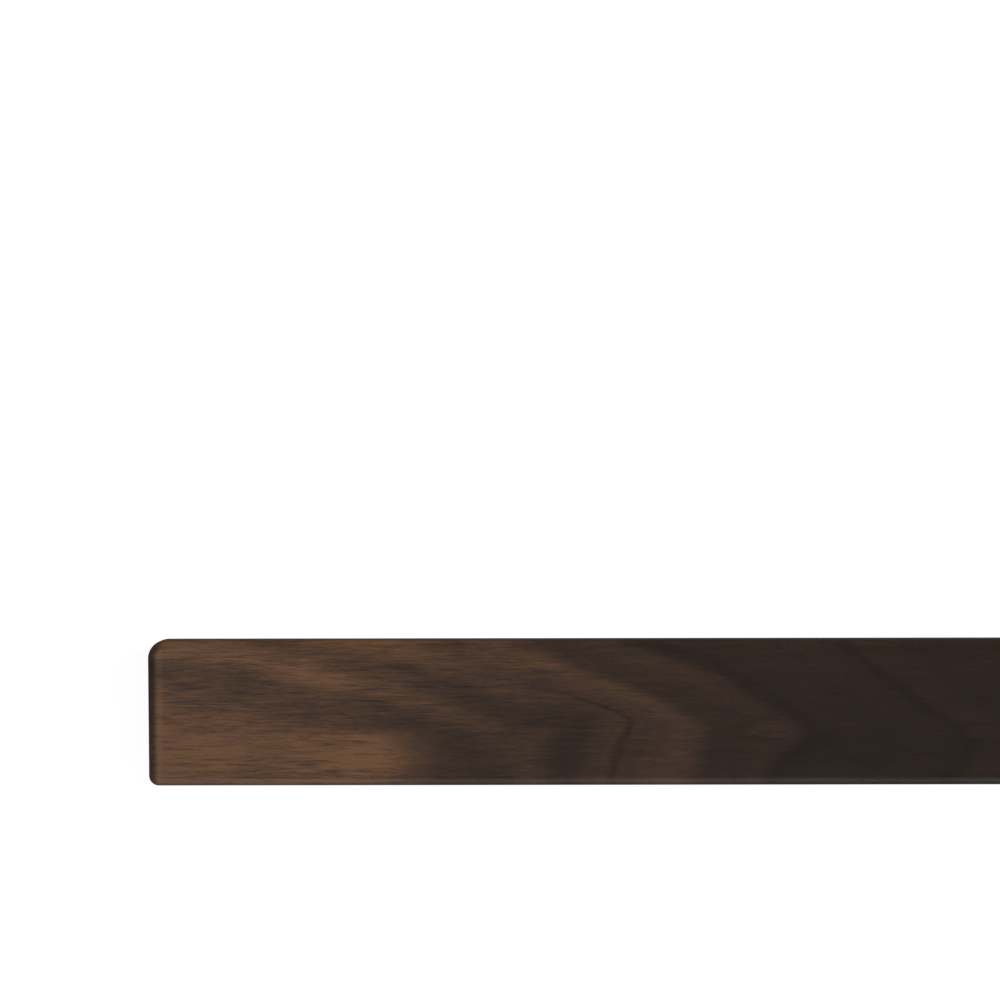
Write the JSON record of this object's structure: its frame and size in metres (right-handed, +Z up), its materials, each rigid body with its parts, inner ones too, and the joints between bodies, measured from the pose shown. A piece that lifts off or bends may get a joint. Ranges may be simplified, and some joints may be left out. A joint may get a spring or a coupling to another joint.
{
  "type": "keyboard wrist rest",
  "caption": "Solid walnut bar with a sloping flat top and rounded edges, on round rubber feet, for resting the palms in front of a keyboard.",
  "frame": {"origin": "middle of the bounding box's bottom, on the desk", "axes": "+X along the length to the user's right, +Y towards the keyboard, +Z up"},
  "size_m": [0.44, 0.07, 0.019],
  "materials": {
    "walnut": "satin",
    "rubber": "matte",
    "adhesive": "satin"
  },
  "bodies": {
    "root": {"walnut_bar": "walnut", "foot_pad_front_left": "rubber", "foot_pad_front_middle": "rubber", "foot_pad_front_right": "rubber", "foot_pad_back_left": "rubber", "foot_pad_back_middle": "rubber", "foot_pad_back_right": "rubber", "adhesive_disc_front_left": "adhesive", "adhesive_disc_front_middle": "adhesive", "adhesive_disc_front_right": "adhesive", "adhesive_disc_back_left": "adhesive", "adhesive_disc_back_middle": "adhesive", "adhesive_disc_back_right": "adhesive"}
  },
  "joints": []
}
